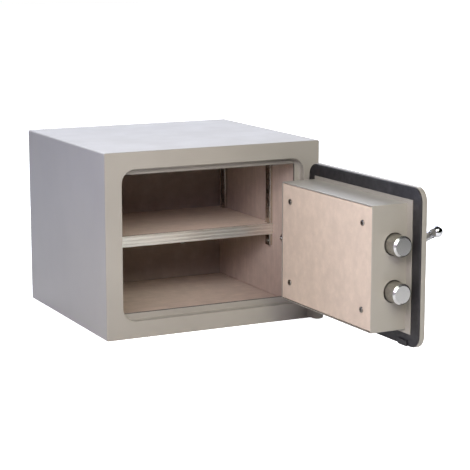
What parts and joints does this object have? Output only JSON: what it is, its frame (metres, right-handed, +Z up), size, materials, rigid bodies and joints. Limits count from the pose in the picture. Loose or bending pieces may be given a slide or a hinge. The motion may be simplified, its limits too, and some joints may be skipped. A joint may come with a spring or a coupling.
{
  "type": "fire-resistant document safe",
  "caption": "Steel fire-resistant document safe with an inset swing door, round throw bolts, a spoked handle, a key lock, felt lining and a removable shelf.",
  "frame": {"origin": "centre of the cabinet's base face", "axes": "+Z up, +X to the right and +Y to the back when facing the door"},
  "size_m": [0.4859, 0.8295, 0.35],
  "materials": {
    "body_paint": "satin warm grey powder coat",
    "fire_panel": "cast gypsum and cement",
    "felt_lining": "beige short-nap felt",
    "zinc_steel": "zinc-plated",
    "shelf_metal": "satin",
    "screw_steel": "plated steel",
    "chrome": "polished",
    "black_seal": "matt black intumescent",
    "brass_works": "turned"
  },
  "bodies": {
    "cabinet": {"outer_casing": "body_paint", "back_plate": "body_paint", "front_frame": "body_paint", "throat_strip": "black_seal", "insulation_left": "fire_panel", "insulation_right": "fire_panel", "insulation_bottom": "fire_panel", "insulation_top": "fire_panel", "insulation_back": "fire_panel", "inner_liner": "body_paint", "lining_floor": "felt_lining", "lining_ceiling": "felt_lining", "lining_left": "felt_lining", "lining_right": "felt_lining", "lining_back": "felt_lining", "bolt_sockets": "zinc_steel", "upright_right_front": "zinc_steel", "upright_left_front": "zinc_steel", "upright_right_rear": "zinc_steel", "upright_left_rear": "zinc_steel", "upright_screws": "screw_steel", "shelf_clips": "zinc_steel", "hinge_fixed_lower": "body_paint", "hinge_fixed_upper": "body_paint", "hinge_pins": "screw_steel", "hinge_washers": "screw_steel"},
    "door": {"door_plate": "body_paint", "fire_seal": "black_seal", "lock_box": "body_paint", "back_panel": "felt_lining", "door_insulation": "fire_panel", "panel_screws": "screw_steel", "door_rest_pad": "black_seal", "hinge_side_bolt": "chrome", "bolt_bushes": "brass_works", "rack_guide": "zinc_steel", "hinge_arm_lower": "body_paint", "hinge_arm_upper": "body_paint", "handle_rose": "chrome", "lock_case": "zinc_steel", "lock_cover": "zinc_steel", "keyhole_plate": "chrome", "cover_rivet": "screw_steel"},
    "boltwork": {"bolt_upper": "chrome", "bolt_lower": "chrome", "carriage_bar": "zinc_steel", "bolt_nuts": "screw_steel", "rack": "zinc_steel"},
    "handle": {"handle_hub": "chrome", "handle_spokes": "chrome", "handle_spindle": "screw_steel", "pinion": "screw_steel"},
    "lock_drum": {"lock_drum": "brass_works"},
    "lock_bolt": {"lock_bolt": "screw_steel"},
    "keyhole_cover": {"keyhole_cover": "chrome"},
    "shelf": {"shelf_tray": "zinc_steel", "shelf_mat": "felt_lining", "shelf_trim": "shelf_metal"}
  },
  "joints": [
    {"name": "door_hinge", "type": "hinge", "parent": "cabinet", "child": "door", "pos_m": [0.21, -0.226, 0.16], "axis": [0, 0, 1], "range_deg": [-91, 85]},
    {"name": "handle_turn", "type": "hinge", "parent": "door", "child": "handle", "pos_m": [0.19394, -0.50912, 0.1922], "axis": [-0.9998, -0.0175, 0], "range_deg": [0, 86]},
    {"name": "bolt_throw", "type": "slide", "parent": "door", "child": "boltwork", "axis": [0.0175, -0.9998, 0], "range_m": [0, 0.01802]},
    {"name": "key_turn", "type": "hinge", "parent": "door", "child": "lock_drum", "pos_m": [0.19375, -0.49833, 0.118], "axis": [-0.9998, -0.0175, 0], "range_deg": [0, 180]},
    {"name": "lock_bolt_throw", "type": "slide", "parent": "door", "child": "lock_bolt", "axis": [0.0175, -0.9998, 0], "range_m": [0, 0.01001]},
    {"name": "keyhole_cover_swing", "type": "hinge", "parent": "door", "child": "keyhole_cover", "pos_m": [0.19725, -0.49826, 0.13], "axis": [-0.9998, -0.0175, 0], "range_deg": [-110, 110]},
    {"name": "shelf_lift", "type": "slide", "parent": "cabinet", "child": "shelf", "axis": [0, 0, 1], "range_m": [0, 0.08]}
  ],
  "couplings": [
    {"joint": "bolt_throw", "follows": "handle_turn", "m_per_rad": 0.012},
    {"joint": "lock_bolt_throw", "follows": "key_turn", "m_per_rad": 0.0031831}
  ]
}
